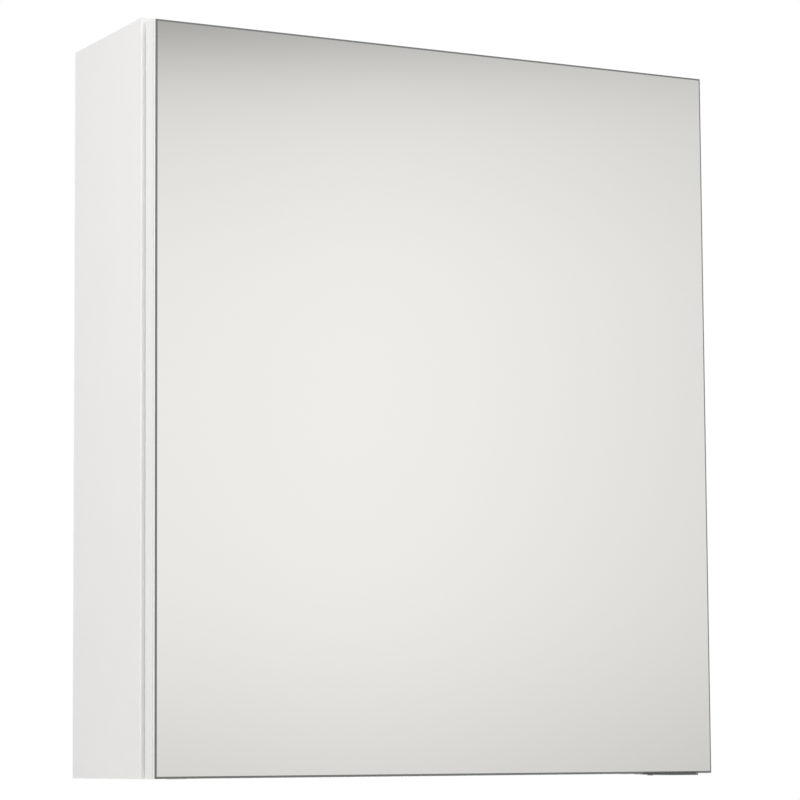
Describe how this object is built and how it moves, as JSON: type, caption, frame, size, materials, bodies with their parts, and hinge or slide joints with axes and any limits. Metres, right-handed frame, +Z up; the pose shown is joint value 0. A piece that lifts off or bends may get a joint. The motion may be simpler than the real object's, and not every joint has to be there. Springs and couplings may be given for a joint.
{
  "type": "mirror cabinet",
  "caption": "Wall-hung white mirror cabinet: a shallow boxed carcass with glass shelves behind a mirrored door that swings out on concealed cup hinges.",
  "frame": {"origin": "on the wall plane, in the middle of the four wall screw holes", "axes": "+X right as one faces the door, +Y into the wall, +Z up"},
  "size_m": [0.55, 0.1727, 0.6423],
  "materials": {
    "white_board": "white melamine-faced particle board, satin, edged in the same white",
    "white_back": "white lacquered fibreboard, satin",
    "mirror": "silvered float glass with a ground edge",
    "shelf_glass": "clear float glass, polished edges",
    "nickel_steel": "nickel-plated pressed steel, satin",
    "bright_steel": "bright zinc-plated steel",
    "zinc_casting": "bare zinc die casting, matte",
    "white_cap": "white moulded plastic, satin",
    "dowel_wood": "bare beech, turned",
    "foam_tape": "white double-sided foam tape",
    "dark_pull": "dark grey powder coat, matte",
    "dark_screw": "blackened steel, matte",
    "clear_rubber": "soft translucent bumper, matte"
  },
  "bodies": {
    "cabinet": {"side_panel_left": "white_board", "side_panel_right": "white_board", "top_panel": "white_board", "bottom_panel": "white_board", "back_panel": "white_back", "upper_rail": "white_board", "lower_rail": "white_board", "cam_locks": "zinc_casting", "cam_bolts": "bright_steel", "cam_caps": "white_cap", "wooden_dowels": "dowel_wood", "shelf_supports": "nickel_steel", "lower_shelf": "shelf_glass", "upper_shelf": "shelf_glass", "lower_hinge_plate": "nickel_steel", "lower_plate_screws": "bright_steel", "lower_hinge_arm": "nickel_steel", "lower_adjusting_screws": "bright_steel", "lower_arm_pins": "bright_steel", "upper_hinge_plate": "nickel_steel", "upper_plate_screws": "bright_steel", "upper_hinge_arm": "nickel_steel", "upper_adjusting_screws": "bright_steel", "upper_arm_pins": "bright_steel"},
    "outer_links": {"lower_outer_link": "nickel_steel", "upper_outer_link": "nickel_steel"},
    "inner_links": {"lower_inner_link": "nickel_steel", "upper_inner_link": "nickel_steel"},
    "door": {"door_panel": "white_board", "mirror_glass": "mirror", "adhesive_strips": "foam_tape", "finger_pull": "dark_pull", "pull_screws": "dark_screw", "door_bumpers": "clear_rubber", "lower_hinge_cup": "nickel_steel", "lower_cup_pins": "bright_steel", "lower_cup_screws": "bright_steel", "upper_hinge_cup": "nickel_steel", "upper_cup_pins": "bright_steel", "upper_cup_screws": "bright_steel"}
  },
  "joints": [
    {"name": "outer_link_turn", "type": "hinge", "parent": "cabinet", "child": "outer_links", "pos_m": [-0.2392, -0.142, 0], "axis": [0, 0, -1], "range_deg": [-27, 0]},
    {"name": "inner_link_turn", "type": "hinge", "parent": "cabinet", "child": "inner_links", "pos_m": [-0.2395, -0.1591, 0], "axis": [0, 0, -1], "range_deg": [-50, 0]},
    {"name": "door_turn", "type": "hinge", "parent": "outer_links", "child": "door", "pos_m": [-0.262, -0.1542, 0], "axis": [0, 0, -1], "range_deg": [0, 118.96]}
  ],
  "couplings": [
    {"joint": "outer_link_turn", "follows": "door_turn", "ratio": -0.22661},
    {"joint": "inner_link_turn", "follows": "door_turn", "ratio": -0.41763}
  ]
}
